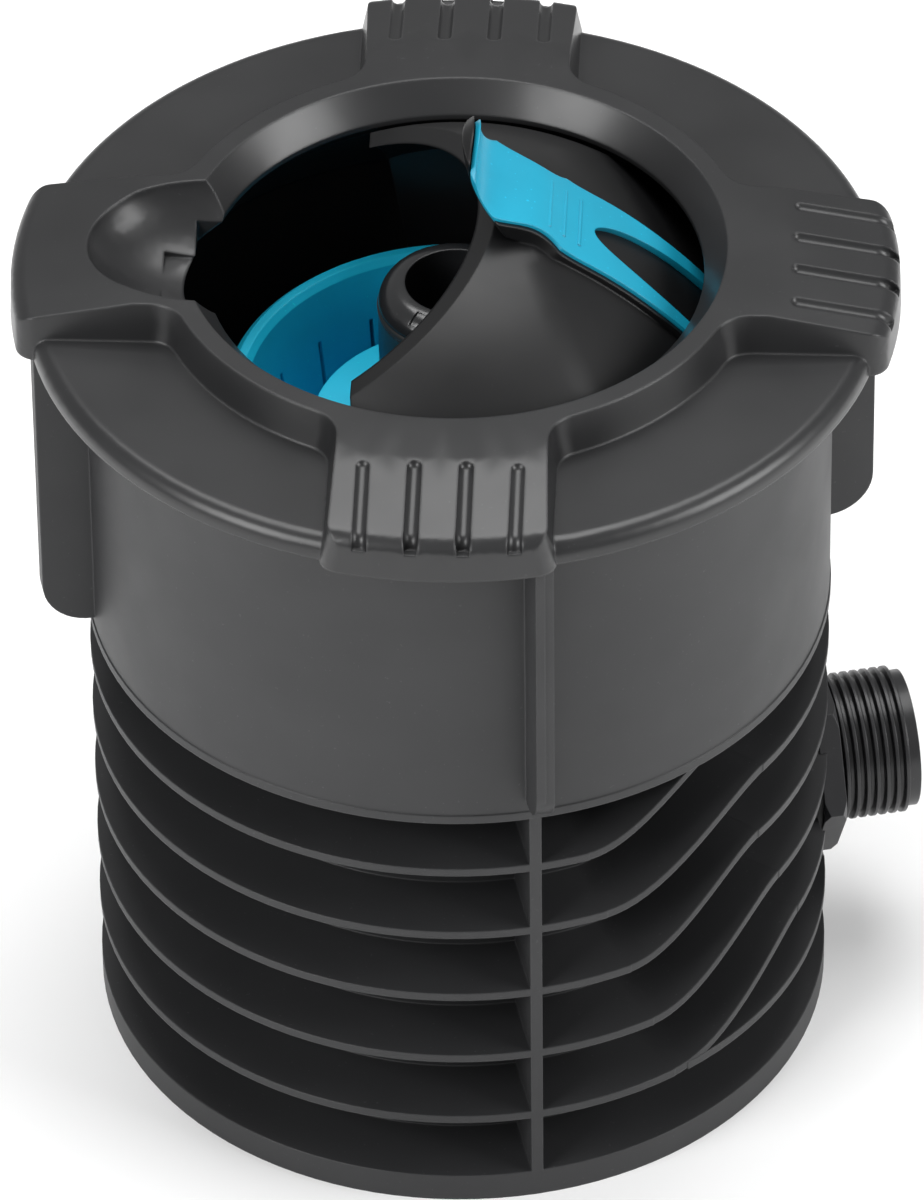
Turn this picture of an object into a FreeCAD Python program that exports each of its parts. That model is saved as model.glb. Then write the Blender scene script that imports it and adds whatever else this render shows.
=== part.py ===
import FreeCAD
import Part
import math
import os

from FreeCAD import Placement, Rotation, Vector

# A recessed garden water connector box, in millimetres and degrees. +Z is up, the origin is the
# middle of the base, the inlet points along +X. The collar, the ball lid and what holds them are
# built in the collar's own frame, with the lid shut, and are then turned to their places.

# ---- Housing ----
BODY_R = 65.0
BODY_WALL = 2.2
BODY_TOP = 151.9
SHELF_UNDER_PIVOT = 22.73
SHELF_T = 2.0
CORE_R = 52.0
CORE_WALL = 2.0
BASE_H = 5.6
BASE_WALL = 1.8
FLOOR_TOP = 3.0
RIB_T = 1.6
RIB_PITCH = 14.45
RIB_TOP_DROP = 11.4
FIN_T = 2.1
WING_REACH = 9.0
WING_T = 3.2
WING_BOTTOM_R = 8.5
WING_DROP = 59.6
DRAIN_SLOT_W = 0.8
FLOOR_SLOT_COUNT = 12
FLOOR_SLOT_W = 3.0
FLOOR_SLOT_END = 5.0
SIDE_SLOT_ANGLE = -47.7
SIDE_SLOT_L = 12.0

# Each rib level climbs one pitch beside the seam, between these two angles from the inlet.
RIB_CLIMBS = [(67.0, 35.0), (71.0, 42.0), (75.0, 48.0), (79.0, 47.0), (82.0, 55.0)]
CLIMB_POINTS = 9

# ---- Inlet ----
INLET_Z = 36.5
THREAD_R = 13.22
THREAD_DEPTH = 1.16
THREAD_PITCH = 1.814
THREAD_FLAT = 0.62
THREAD_L = 12.9
THREAD_GAP = 0.5
INLET_NECK_R = 12.6
INLET_LAND_R = 12.3
INLET_LAND_L = 1.4
BORE_R = 9.0
PIPE_R = 12.0
BOSS_R = 16.0
BOSS_SUNK = 3.5
NIPPLE_CLEAR = 0.3
NUT_AF = 32.0
NUT_T = 4.0
NUT_ROOM = 1.0
GASKET_T = 1.0
FOOT_R = 22.0
FOOT_T = 4.0
FOOT_SCREW_R = 18.0
SCREW_R = 1.5
SCREW_HEAD_R = 2.9
SCREW_HEAD_H = 1.8
SCREW_FLOOR = 0.6

# ---- Collar ----
COLLAR_GAP = 0.1
PLATE_T = 4.0
COLLAR_H = 11.0
RIM_ROUND = 3.0
LUG_REACH = 11.5
LUG_HALF_W = 20.0
LUG_ROUND = 3.6
LUG_FLAT_R = 57.0
LUG_FALL = 3.6
LUG_CORNER_R = 4.0
DRAFT_IN = 2.2
RING_BOTTOM_R = 52.5
VALLEY_R = 4.5
LIP_CLEAR = 2.7
LIP_DROP = 5.1
OPENING_FLARE = 4.0
GROOVE_R = 1.3
GROOVE_DEPTH = 1.0
GROOVE_INNER_R = 59.0
GROOVE_STEP = 8.7
SCOOP_LONG = 22.3
SCOOP_HALF_W = 17.0
SCOOP_DEEP = 13.5
SCOOP_RISE = 3.0
SCOOP_CLEAR = 0.7
TAB_SLOT_REACH = 7.8
TAB_SLOT_HALF_W = 7.0
COLLAR_TURN = -14.0

# ---- Lid carrier, a bayonet neck with two ears ----
NECK_GAP = 2.3
NECK_T = 2.5
NECK_H = 15.0
NECK_FLANGE_T = 2.5
STUD_H = 3.7
STUD_GAP = 0.3
STUD_DROP = 4.9
STUD_LAND = 3.0
STUD_HALF = 8.0
STUD_CLEAR = 0.5
STOP_HALF = 1.4
EAR_GAP = 1.0
EAR_T = 7.0
EAR_HALF_W = 11.0
CARRIER_SCREW_TURN = 16.5
CARRIER_SCREW_L = 7.5
CARRIER_SCREW_IN = 6.1

# ---- Ball lid ----
LID_GAP = 0.8
LID_RIM_R = 40.0
LID_RIM_DROP = 4.6
LID_T = 2.4
DOME_RISE = 9.0
CHEEK_IN = 12.0
LID_BOSS_R = 9.0
LID_BOSS_T = 5.0
LID_OPEN = 52.5
LID_FRONT_TOP = 44.4
LID_FRONT_LOW = 47.7
LID_FRONT_LOW_Z = 16.0
LID_REAR_ANGLE = 48.0
PIN_R = 3.0
PIN_CLEAR = 0.06
PIN_HEAD_R = 5.0
PIN_HEAD_T = 2.0
WASHER_R = 8.0

# ---- Grip on the lid ----
GRIP_T = 1.2
GRIP_HALF_W = 9.6
GRIP_END_IN = 7.0
GRIP_LIFT = 0.0175
GRIP_LIFT_L = 9.0
GRIP_BORDER = 0.9
GRIP_SINK = 0.5
TAB_REACH = 14.0
CREASE_OUT = 4.6
BAND_HALF_W = 25.0
TAB_HALF_W = 10.4
TAB_T = 2.8
TAB_RISE = 3.4
TAB_NECK_DROP = 3.2
WINDOW_HALF_L = 29.5
WINDOW_HALF_W = 6.8
GRIP_RIDGE_IN = [1.4, 4.5, 7.6]
GRIP_RIDGE_HALF = 6.2
GRIP_RIDGE_R = 0.35

# ---- Spigot and valve ----
SPIGOT_DROP = 8.0
SPIGOT_R = 13.4
SPIGOT_H = 54.0
SPIGOT_BORE_R = 8.7
SPIGOT_NOSE_ROUND = 4.4
NOSE_TRAY_DEEP = 0.3
NOSE_TRAY_IN_R = 10.2
NOSE_TRAY_OUT_R = 12.5
NOSE_TRAY_MIDDLE = -118.5
NOSE_TRAY_HALF = 22.5
SPIGOT_NECK_W = 0.5
SPIGOT_NECK_UP = 0.7
SPIGOT_FLANGE_W = 2.2
SPIGOT_FLANGE_T = 3.0
O_RING_DROP = 4.9
O_RING_WIRE = 1.3
O_RING_SINK = 2.4
SEAT_R = 6.2
SEAT_UP = 9.0
SEAT_T = 3.0
CHAMBER_R = 9.6
RISER_HEAD_H = 12.0
RISER_SEAL_T = 1.0
NUT_WALL = 2.4
NUT_LIP_CLEAR = 0.3
NUT_H = 20.0
NUT_LIP_T = 2.5
NUT_CLEAR = 0.2
NUT_FLUTES = 16
STEM_R = 3.0
STEM_CLEAR = 0.06
STEM_TOP_DROP = 20.0
POPPET_R = 7.6
POPPET_T = 3.5
POPPET_TRAVEL = 4.0
VALVE_SEAL_WIRE = 0.9
SPRING_R = 5.2
SPRING_WIRE = 0.6
SPRING_TURNS = 5
RETAINER_T = 2.0
RETAINER_LEDGE = 1.0

# ---- Dirt sieve ----
SIEVE_SPREAD = 6.0
SIEVE_TOP_UNDER_LIP = 25.6
SIEVE_RIM_W = 3.7
SIEVE_RIM_H = 3.4
SIEVE_T = 1.6
SIEVE_FLOOR_W = 8.8
SIEVE_DEPTH = 31.0
HUB_CLEAR = 0.8
HUB_W = 6.4
HUB_DROP = 8.2
HUB_TAPER = 1.8
SIEVE_SLOTS = 20
SIEVE_SLOT_W = 0.8
SIEVE_SLOT_TOP = 11.0
SIEVE_SLOT_LOW = 26.0
ARM_COUNT = 4
ARM_W = 6.0
ARM_T = 3.0
ARM_DROP = 2.0

# ---- Sizes that follow ----
BODY_IN_R = BODY_R - BODY_WALL
COLLAR_Z = BODY_TOP + COLLAR_GAP
COLLAR_TOP = COLLAR_Z + COLLAR_H
RIM_R = BODY_R + WING_REACH
LUG_R = BODY_R + LUG_REACH
LIP_R = LID_RIM_R + LIP_CLEAR
LIP_Z = COLLAR_TOP - LIP_DROP
BALL_R = BODY_IN_R - LID_GAP
LID_RIM_Z = COLLAR_TOP - LID_RIM_DROP
PIVOT_Z = LID_RIM_Z - math.sqrt(BALL_R ** 2 - LID_RIM_R ** 2)
SHELF_Z = PIVOT_Z - SHELF_UNDER_PIVOT
GRIP_END_X = LID_RIM_R - GRIP_END_IN
BOSS_OUT = BODY_R - BOSS_SUNK
THREAD_START = BOSS_OUT + GASKET_T + NUT_T + THREAD_GAP
THREAD_END = THREAD_START + THREAD_L
INLET_REACH = THREAD_END + INLET_LAND_L
SPIGOT_FLANGE_R = SPIGOT_R + SPIGOT_FLANGE_W
SPIGOT_NECK_R = SPIGOT_R + SPIGOT_NECK_W
RISER_HEAD_R = SPIGOT_FLANGE_R
NUT_R = RISER_HEAD_R + NUT_WALL
NUT_LIP_R = SPIGOT_NECK_R + NUT_LIP_CLEAR
HUB_HOLE_R = NUT_R + HUB_CLEAR
HUB_R = HUB_HOLE_R + HUB_W
SIEVE_FLOOR_R = HUB_R + SIEVE_FLOOR_W
SIEVE_R = SIEVE_FLOOR_R + SIEVE_SPREAD
CHEEK_Y = BALL_R - CHEEK_IN
NECK_OUT_R = BODY_IN_R - NECK_GAP
NECK_IN_R = NECK_OUT_R - NECK_T
SPIGOT_TOP = COLLAR_TOP - SPIGOT_DROP
SPIGOT_BASE = SPIGOT_TOP - SPIGOT_H
RISER_TOP = SPIGOT_BASE - RISER_SEAL_T
SIEVE_TOP = LIP_Z - SIEVE_TOP_UNDER_LIP
SIEVE_FLOOR_Z = SIEVE_TOP - SIEVE_DEPTH
STUD_TOP = COLLAR_Z - STUD_LAND - STUD_DROP
SEAT_Z = SPIGOT_BASE + SEAT_UP
RETAINER_Z = RISER_TOP - RISER_HEAD_H + 3.0
LID_PIVOT = Vector(0, 0, PIVOT_Z)
Z_AXIS = Vector(0, 0, 1)
BIG = 200.0


# ---- Shape helpers ----
def disc(radius, z0, z1):
    return Part.makeCylinder(radius, z1 - z0, Vector(0, 0, z0))


def tube(outer, inner, z0, z1):
    return disc(outer, z0, z1).cut(disc(inner, z0 - 1, z1 + 1))


def rod(start, direction, radius, length):
    return Part.makeCylinder(radius, length, start, direction)


def box(x0, x1, y0, y1, z0, z1):
    return Part.makeBox(x1 - x0, y1 - y0, z1 - z0, Vector(x0, y0, z0))


def turned(shape, angle, centre=Vector(0, 0, 0), axis=Z_AXIS):
    copy = shape.copy()
    copy.rotate(centre, axis, angle)
    return copy


def moved(shape, x, y, z):
    copy = shape.copy()
    copy.translate(Vector(x, y, z))
    return copy


def fused(shapes):
    first = shapes[0]
    return first.multiFuse(shapes[1:]).removeSplitter()


def wire_of(points, closed=True):
    corners = [Vector(*p) for p in points]
    if closed:
        corners.append(corners[0])
    return Part.makePolygon(corners)


def lathe(profile):
    """A solid turned about Z from closed (radius, z) corners."""
    face = Part.Face(wire_of([(r, 0, z) for r, z in profile]))
    return face.revolve(Vector(0, 0, 0), Z_AXIS, 360)


def side_prism(corners, half_width):
    """An outline in the XZ plane, pushed out to both sides along Y."""
    face = Part.Face(wire_of([(x, -half_width, z) for x, z in corners]))
    return face.extrude(Vector(0, 2 * half_width, 0))


def ring_sector(outer, inner, z0, z1, middle, half_angle):
    """A piece of a ring, half_angle degrees to either side of the middle angle."""
    piece = Part.makeCylinder(outer, z1 - z0, Vector(0, 0, z0), Z_AXIS, 2 * half_angle)
    piece = piece.cut(disc(inner, z0 - 1, z1 + 1))
    return turned(piece, middle - half_angle)


def round_edges(shape, radius, wanted):
    chosen = [edge for edge in shape.Edges if wanted(edge)]
    return shape.makeFillet(radius, chosen)


def torus(ring_radius, wire_radius, z):
    return Part.makeTorus(ring_radius, wire_radius, Vector(0, 0, z))


def polar(radius, angle, z=0.0):
    return Vector(radius * math.cos(math.radians(angle)), radius * math.sin(math.radians(angle)), z)


def threaded(root_r, crest_r, start, end):
    """A rod with ring-shaped crests at the thread's pitch, standing on Z."""
    corners = [(0, start), (root_r, start)]
    count = int((end - start) / THREAD_PITCH)
    flank = (THREAD_PITCH - 2 * THREAD_FLAT) / 2
    for turn in range(count):
        foot = start + turn * THREAD_PITCH
        corners.append((root_r, foot + THREAD_FLAT / 2))
        corners.append((crest_r, foot + THREAD_FLAT / 2 + flank))
        corners.append((crest_r, foot + THREAD_FLAT * 1.5 + flank))
        corners.append((root_r, foot + THREAD_FLAT * 1.5 + 2 * flank))
    corners.append((root_r, end))
    corners.append((0, end))
    return lathe(corners)


# ---- Housing ----
def rib_levels():
    """Middle heights of the ribs, lowest first."""
    top = SHELF_Z - RIB_TOP_DROP
    count = int((top - BASE_H - 6.0) / RIB_PITCH) + 1
    return [top - i * RIB_PITCH for i in range(count - 1, -1, -1)]


def climbing_rib(level, start, end):
    """A rib that rises one pitch in an S between two angles on the -Y side."""
    edges = []
    inner_r = CORE_R - CORE_WALL / 2
    outer_r = BODY_R - 0.1
    for radius, lift in ((inner_r, -1), (outer_r, -1), (outer_r, 1), (inner_r, 1)):
        points = []
        for i in range(CLIMB_POINTS):
            t = i / (CLIMB_POINTS - 1)
            angle = -start + (start - end) * t
            rise = RIB_PITCH * t * t * (3 - 2 * t)
            points.append(polar(radius, angle, level + rise + lift * RIB_T / 2))
        curve = Part.BSplineCurve()
        curve.interpolate(points)
        edges.append(curve.toShape())
    faces = [Part.makeRuledSurface(edges[i], edges[(i + 1) % 4]) for i in range(4)]
    for point in (0, -1):
        ends = [edge.valueAt(edge.ParameterRange[point]) for edge in edges]
        faces.append(Part.Face(Part.makePolygon(ends + [ends[0]])))
    shell = Part.makeShell(faces)
    shell.sewShape()
    solid = Part.makeSolid(shell)
    if solid.Volume < 0:
        solid.reverse()
    return solid


def ribs():
    levels = rib_levels()
    inner_r = CORE_R - CORE_WALL / 2
    parts = []
    for i, level in enumerate(levels):
        climb = RIB_CLIMBS[min(i, len(RIB_CLIMBS) - 1)]
        below = RIB_CLIMBS[min(i - 1, len(RIB_CLIMBS) - 1)] if i else climb
        z0 = level - RIB_T / 2
        z1 = level + RIB_T / 2
        front_half = climb[0] - 3.0 if i == 0 else below[1] + 0.5
        parts.append(ring_sector(BODY_R, inner_r, z0, z1, 180, 180.5 - climb[0]))
        parts.append(ring_sector(BODY_R, inner_r, z0, z1, 0, front_half))
        rib = climbing_rib(level, climb[0], climb[1])
        parts.append(rib)
        parts.append(rib.mirror(Vector(0, 0, 0), Vector(0, 1, 0)))
    keep = disc(BODY_R, 0, SHELF_Z + SHELF_T / 2)
    return [part.common(keep) for part in parts]


def wing(angle, stepped):
    """One of the four wings; its outer edge has a seam step on the moulding's split."""
    top = BODY_TOP
    bottom = BODY_TOP - WING_DROP
    blade = box(BODY_R - BODY_WALL / 2, RIM_R, -WING_T / 2, WING_T / 2, bottom, top)
    blade = round_edges(blade, WING_BOTTOM_R, lambda e: abs(e.CenterOfMass.x - RIM_R) < 0.01
                        and abs(e.CenterOfMass.z - bottom) < 0.01)
    if stepped:
        blade = blade.cut(box(RIM_R - 0.3, RIM_R + 1, 0, WING_T, bottom - 1, top + 1))
    return turned(blade, angle)


def drain_slots():
    """Narrow slots through the core, one to a bay, on both sides of both seams."""
    slots = []
    levels = rib_levels()
    for level in levels[:-1]:
        z = level + RIB_PITCH / 2
        slot = ring_sector(CORE_R + 1, CORE_R - CORE_WALL - 1, z - DRAIN_SLOT_W / 2,
                           z + DRAIN_SLOT_W / 2, -127, 7.5)
        slots.append(slot)
        slots.append(slot.mirror(Vector(0, 0, 0), Vector(0, 1, 0)))
    for i, climb in enumerate(RIB_CLIMBS[:len(levels) - 2]):
        along = (climb[0] + SIDE_SLOT_ANGLE) / (climb[0] - climb[1])
        along = min(0.85, max(0.15, along))
        rise = RIB_PITCH * along * along * (3 - 2 * along)
        slope = RIB_PITCH * 6 * along * (1 - along) / math.radians(climb[0] - climb[1])
        lean = math.degrees(math.atan(slope / CORE_R))
        slot = box(CORE_R - CORE_WALL - 1, CORE_R + 1, -SIDE_SLOT_L / 2, SIDE_SLOT_L / 2,
                   -DRAIN_SLOT_W / 2, DRAIN_SLOT_W / 2)
        slot.rotate(Vector(0, 0, 0), Vector(1, 0, 0), lean)
        slot.translate(Vector(0, 0, levels[i] + rise + RIB_PITCH / 2))
        slot = turned(slot, SIDE_SLOT_ANGLE)
        slots.append(slot)
        slots.append(slot.mirror(Vector(0, 0, 0), Vector(0, 1, 0)))
    return slots


def housing():
    core = tube(CORE_R, CORE_R - CORE_WALL, 0, SHELF_Z + SHELF_T)
    upper = tube(BODY_R, BODY_IN_R, SHELF_Z, BODY_TOP)
    shelf = tube(BODY_R - BODY_WALL / 2, CORE_R - CORE_WALL, SHELF_Z, SHELF_Z + SHELF_T)
    band = tube(BODY_R + 0.2, BODY_R - BODY_WALL / 2, SHELF_Z, SHELF_Z + 1.7)
    base = tube(BODY_R, CORE_R - CORE_WALL, 0, BASE_H)
    base = base.cut(tube(BODY_R - BASE_WALL, CORE_R + BASE_WALL, -1, BASE_H - BASE_WALL))
    floor = disc(CORE_R - CORE_WALL / 2, 0, FLOOR_TOP)
    parts = [core, upper, shelf, band, base, floor]
    parts += ribs()
    for side in (-1, 1):
        parts.append(turned(box(CORE_R - CORE_WALL / 2, BODY_R, -FIN_T / 2, FIN_T / 2,
                                BASE_H / 2, SHELF_Z + SHELF_T / 2), side * 90))
    for k in range(4):
        parts.append(wing(90 * k, k % 2 == 1))
    inner = CORE_R - CORE_WALL
    boss = rod(Vector(inner, 0, INLET_Z), Vector(1, 0, 0), BOSS_R, BOSS_OUT - inner)
    parts.append(boss.cut(disc(inner + CORE_WALL / 2, 0, BODY_TOP)))
    for k in range(4):
        middle = 45 + 90 * k
        parts.append(ring_sector(BODY_R - BODY_WALL / 2, NECK_OUT_R + STUD_CLEAR, STUD_TOP + STUD_GAP,
                                 STUD_TOP + STUD_GAP + STUD_LAND, middle, STUD_HALF))
        stop = middle - STUD_HALF - STOP_HALF - 0.3
        parts.append(ring_sector(BODY_R - BODY_WALL / 2, NECK_OUT_R + STUD_CLEAR, STUD_TOP - STUD_H,
                                 STUD_TOP + STUD_GAP + STUD_LAND, stop, STOP_HALF))
    body = fused(parts)
    holes = [rod(Vector(inner - 3, 0, INLET_Z), Vector(1, 0, 0), THREAD_R + NIPPLE_CLEAR, 30)]
    nut_room = NUT_AF / math.sqrt(3) + NUT_ROOM
    holes.append(rod(Vector(BOSS_OUT, 0, INLET_Z), Vector(1, 0, 0), nut_room, BODY_R))
    holes += drain_slots()
    for k in range(FLOOR_SLOT_COUNT):
        angle = 360.0 / FLOOR_SLOT_COUNT * (k + 0.5)
        holes.append(turned(box(FOOT_R + FLOOR_SLOT_END, inner - FLOOR_SLOT_END, -FLOOR_SLOT_W / 2,
                                FLOOR_SLOT_W / 2, -1, FLOOR_TOP + 1), angle))
    for place in foot_screw_places():
        holes.append(rod(place + Vector(0, 0, SCREW_FLOOR), Z_AXIS, SCREW_R, FLOOR_TOP))
    return body.cut(Part.makeCompound(holes))


# ---- Inlet and riser ----
def foot_screw_places():
    return [polar(FOOT_SCREW_R, 45 + 90 * k) for k in range(4)]


def inlet_elbow():
    """Foot, upright riser with arms for the sieve, and the threaded nipple through the wall."""
    foot = disc(FOOT_R, FLOOR_TOP, FLOOR_TOP + FOOT_T)
    riser = disc(PIPE_R, FLOOR_TOP, RISER_TOP)
    head = disc(RISER_HEAD_R, RISER_TOP - RISER_HEAD_H, RISER_TOP)
    along = Vector(1, 0, 0)
    pipe = rod(Vector(0, 0, INLET_Z), along, PIPE_R, THREAD_START + 1)
    screw = threaded(THREAD_R - THREAD_DEPTH, THREAD_R, THREAD_START, THREAD_END)
    screw.rotate(Vector(0, 0, 0), Vector(0, 1, 0), 90)
    screw.translate(Vector(0, 0, INLET_Z))
    land = rod(Vector(THREAD_END - 1, 0, INLET_Z), along, INLET_LAND_R, INLET_REACH - THREAD_END + 1)
    neck = rod(Vector(BOSS_OUT - 1, 0, INLET_Z), along, INLET_NECK_R, THREAD_START - BOSS_OUT + 1)
    flange_x = CORE_R - CORE_WALL - 4.0
    flange = rod(Vector(flange_x, 0, INLET_Z), along, BOSS_R, 3.5)
    flange = flange.common(disc(CORE_R - CORE_WALL - 0.3, 0, BODY_TOP))
    nut_low = SPIGOT_BASE + SPIGOT_FLANGE_T + NUT_LIP_T - NUT_H
    arm_top = nut_low - ARM_DROP
    bend_r = NUT_R + 1.5
    tip_r = SIEVE_FLOOR_R - 1.0
    tip_in = HUB_R + HUB_TAPER
    outline = [(PIPE_R - 1, arm_top - ARM_T * 4), (PIPE_R - 1, arm_top), (bend_r, arm_top),
               (tip_in, SIEVE_FLOOR_Z), (tip_r, SIEVE_FLOOR_Z), (tip_r, SIEVE_FLOOR_Z - ARM_T)]
    arm = side_prism(outline, ARM_W / 2)
    arms = [turned(arm, 45 + 360.0 / ARM_COUNT * k) for k in range(ARM_COUNT)]
    body = fused([foot, riser, head, pipe, neck, screw, land, flange] + arms)
    bores = [rod(Vector(0, 0, INLET_Z), along, BORE_R, INLET_REACH + 1)]
    bores.append(disc(BORE_R - RETAINER_LEDGE, INLET_Z, RISER_TOP + 1))
    bores.append(disc(BORE_R, RETAINER_Z, RISER_TOP + 1))
    bores.append(Part.makeSphere(BORE_R, Vector(0, 0, INLET_Z)))
    for place in foot_screw_places():
        bores.append(rod(place + Vector(0, 0, FLOOR_TOP - 1), Z_AXIS, SCREW_R, FOOT_T + 2))
    return body.cut(Part.makeCompound(bores))


def screw_solid(place, length, head_up=True):
    """A pan head screw; place is under its head."""
    side = 1 if head_up else -1
    shank = rod(place, Vector(0, 0, -side), SCREW_R, length)
    head = rod(place, Vector(0, 0, side), SCREW_HEAD_R, SCREW_HEAD_H)
    head = round_edges(head, 0.8, lambda e: abs(e.CenterOfMass.z - place.z) > SCREW_HEAD_H * 0.9)
    slot = rod(place + Vector(0, 0, side * 0.9), Vector(0, 0, side), 1.0, SCREW_HEAD_H)
    return shank.fuse(head).removeSplitter().cut(slot)


def riser_screws():
    height = FLOOR_TOP + FOOT_T
    places = [place + Vector(0, 0, height) for place in foot_screw_places()]
    return Part.makeCompound([screw_solid(place, height - SCREW_FLOOR) for place in places])


def inlet_lock_nut():
    sides = []
    corner_r = NUT_AF / math.sqrt(3)
    start = BOSS_OUT + GASKET_T
    for k in range(6):
        p = polar(corner_r, 60 * k)
        sides.append((start, p.x, p.y + INLET_Z))
    nut = Part.Face(wire_of(sides)).extrude(Vector(NUT_T, 0, 0))
    round_off = lathe([(0, start), (corner_r - 1.2, start), (corner_r, start + 0.9),
                       (corner_r, start + NUT_T - 0.9), (corner_r - 1.2, start + NUT_T),
                       (0, start + NUT_T)])
    round_off.rotate(Vector(0, 0, 0), Vector(0, 1, 0), 90)
    round_off.translate(Vector(0, 0, INLET_Z))
    hole = rod(Vector(start - 1, 0, INLET_Z), Vector(1, 0, 0), INLET_NECK_R + 0.02, NUT_T + 2)
    return nut.common(round_off).cut(hole)


def inlet_gasket():
    ring = rod(Vector(BOSS_OUT, 0, INLET_Z), Vector(1, 0, 0), BOSS_R, GASKET_T)
    return ring.cut(rod(Vector(BOSS_OUT - 1, 0, INLET_Z), Vector(1, 0, 0), THREAD_R, GASKET_T + 2))


# ---- Spigot and valve ----
def o_ring_z():
    return SPIGOT_TOP - O_RING_DROP


def spigot():
    rounding = SPIGOT_NOSE_ROUND
    outside = disc(SPIGOT_R, SPIGOT_BASE, SPIGOT_TOP)
    outside = round_edges(outside, rounding, lambda e: abs(e.CenterOfMass.z - SPIGOT_TOP) < 0.01)
    flange = disc(SPIGOT_FLANGE_R, SPIGOT_BASE, SPIGOT_BASE + SPIGOT_FLANGE_T)
    neck = disc(SPIGOT_NECK_R, SPIGOT_BASE, SPIGOT_BASE + SPIGOT_FLANGE_T + NUT_LIP_T + SPIGOT_NECK_UP)
    body = outside.fuse([flange, neck]).removeSplitter()
    waist = torus(SPIGOT_R + O_RING_WIRE - O_RING_SINK, O_RING_WIRE, o_ring_z())
    bore = disc(SPIGOT_BORE_R, SEAT_Z + SEAT_T, SPIGOT_TOP + 1)
    tray_floor = disc(SPIGOT_R - NOSE_TRAY_DEEP, SPIGOT_BASE, SPIGOT_TOP - NOSE_TRAY_DEEP)
    tray_floor = round_edges(tray_floor, rounding - NOSE_TRAY_DEEP,
                             lambda e: abs(e.CenterOfMass.z - SPIGOT_TOP + NOSE_TRAY_DEEP) < 0.01)
    tray = ring_sector(NOSE_TRAY_OUT_R, NOSE_TRAY_IN_R, SPIGOT_TOP - rounding, SPIGOT_TOP + 1,
                       NOSE_TRAY_MIDDLE, NOSE_TRAY_HALF).cut(tray_floor)
    chamber = disc(CHAMBER_R, SPIGOT_BASE - 1, SEAT_Z)
    port = disc(SEAT_R, SEAT_Z - 1, SEAT_Z + SEAT_T + 1)
    body = body.cut(Part.makeCompound([bore, chamber, port])).cut(tray).cut(waist)
    guide = tube(STEM_R + 1.8, STEM_R + STEM_CLEAR, SEAT_Z + SEAT_T, SEAT_Z + SEAT_T + 5)
    spokes = []
    for k in range(3):
        spoke = box(STEM_R + 1.0, SPIGOT_BORE_R + 1.0, -0.8, 0.8, SEAT_Z + SEAT_T, SEAT_Z + SEAT_T + 5)
        spokes.append(turned(spoke, 90 + 120 * k))
    return fused([body, guide] + spokes)


def spigot_o_ring():
    groove_room = 0.02
    ring = torus(SPIGOT_R + O_RING_WIRE - O_RING_SINK, O_RING_WIRE - groove_room, o_ring_z())
    return ring


def spigot_union_nut():
    top = SPIGOT_BASE + SPIGOT_FLANGE_T + NUT_LIP_T
    low = top - NUT_H
    nut = disc(NUT_R, low, top)
    nut = round_edges(nut, 1.0, lambda e: len(e.Vertexes) == 1)
    nut = nut.cut(disc(RISER_HEAD_R + NUT_CLEAR, low - 1, top - NUT_LIP_T))
    nut = nut.cut(disc(NUT_LIP_R, low, top + 1))
    flutes = []
    for k in range(NUT_FLUTES):
        place = polar(NUT_R + 1.2, 360.0 / NUT_FLUTES * k, low + 2)
        flutes.append(rod(place, Z_AXIS, 1.8, NUT_H - 4))
    return nut.cut(Part.makeCompound(flutes))


def riser_gasket():
    return tube(RISER_HEAD_R - 1, CHAMBER_R, RISER_TOP, SPIGOT_BASE)


def valve_plunger():
    top = SPIGOT_TOP - STEM_TOP_DROP
    stem = disc(STEM_R, SEAT_Z - 2, top)
    stem = round_edges(stem, 1.0, lambda e: abs(e.CenterOfMass.z - top) < 0.01)
    poppet = disc(POPPET_R, SEAT_Z - VALVE_SEAL_WIRE - POPPET_T, SEAT_Z - VALVE_SEAL_WIRE)
    neck = disc(SEAT_R - 2.4, SEAT_Z - 2, SEAT_Z + 0.5)
    spring_post = disc(SPRING_R - SPRING_WIRE - 0.3, SEAT_Z - VALVE_SEAL_WIRE - POPPET_T - 3,
                       SEAT_Z - VALVE_SEAL_WIRE - POPPET_T + 0.5)
    return fused([stem, poppet, neck, spring_post])


def valve_seal():
    """A flat rubber ring on the poppet, just clear of the seat it closes."""
    return tube(POPPET_R - 0.1, SEAT_R - 2.4, SEAT_Z - VALVE_SEAL_WIRE, SEAT_Z - 0.02)


def spring_retainer():
    ring = tube(BORE_R - 0.05, BORE_R - 1.6, RETAINER_Z, RETAINER_Z + RETAINER_T)
    cup = disc(SPRING_R + SPRING_WIRE + 0.6, RETAINER_Z, RETAINER_Z + RETAINER_T)
    web = box(-BORE_R + 0.6, BORE_R - 0.6, -1.2, 1.2, RETAINER_Z, RETAINER_Z + RETAINER_T)
    cross = turned(web, 90)
    body = fused([ring, cup, web, cross])
    return body.cut(disc(SPRING_R - 2.2, RETAINER_Z - 1, RETAINER_Z + RETAINER_T + 1))


def valve_spring():
    low = RETAINER_Z + RETAINER_T + SPRING_WIRE
    high = SEAT_Z - VALVE_SEAL_WIRE - POPPET_T - SPRING_WIRE
    height = high - low
    helix = Part.makeHelix(height / SPRING_TURNS, height, SPRING_R)
    start = Vector(SPRING_R, 0, 0)
    section = Part.Wire(Part.makeCircle(SPRING_WIRE, start, Vector(0, 1, 0)))
    coil = Part.Wire(helix).makePipeShell([section], True, True)
    return moved(coil, 0, 0, low)


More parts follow.
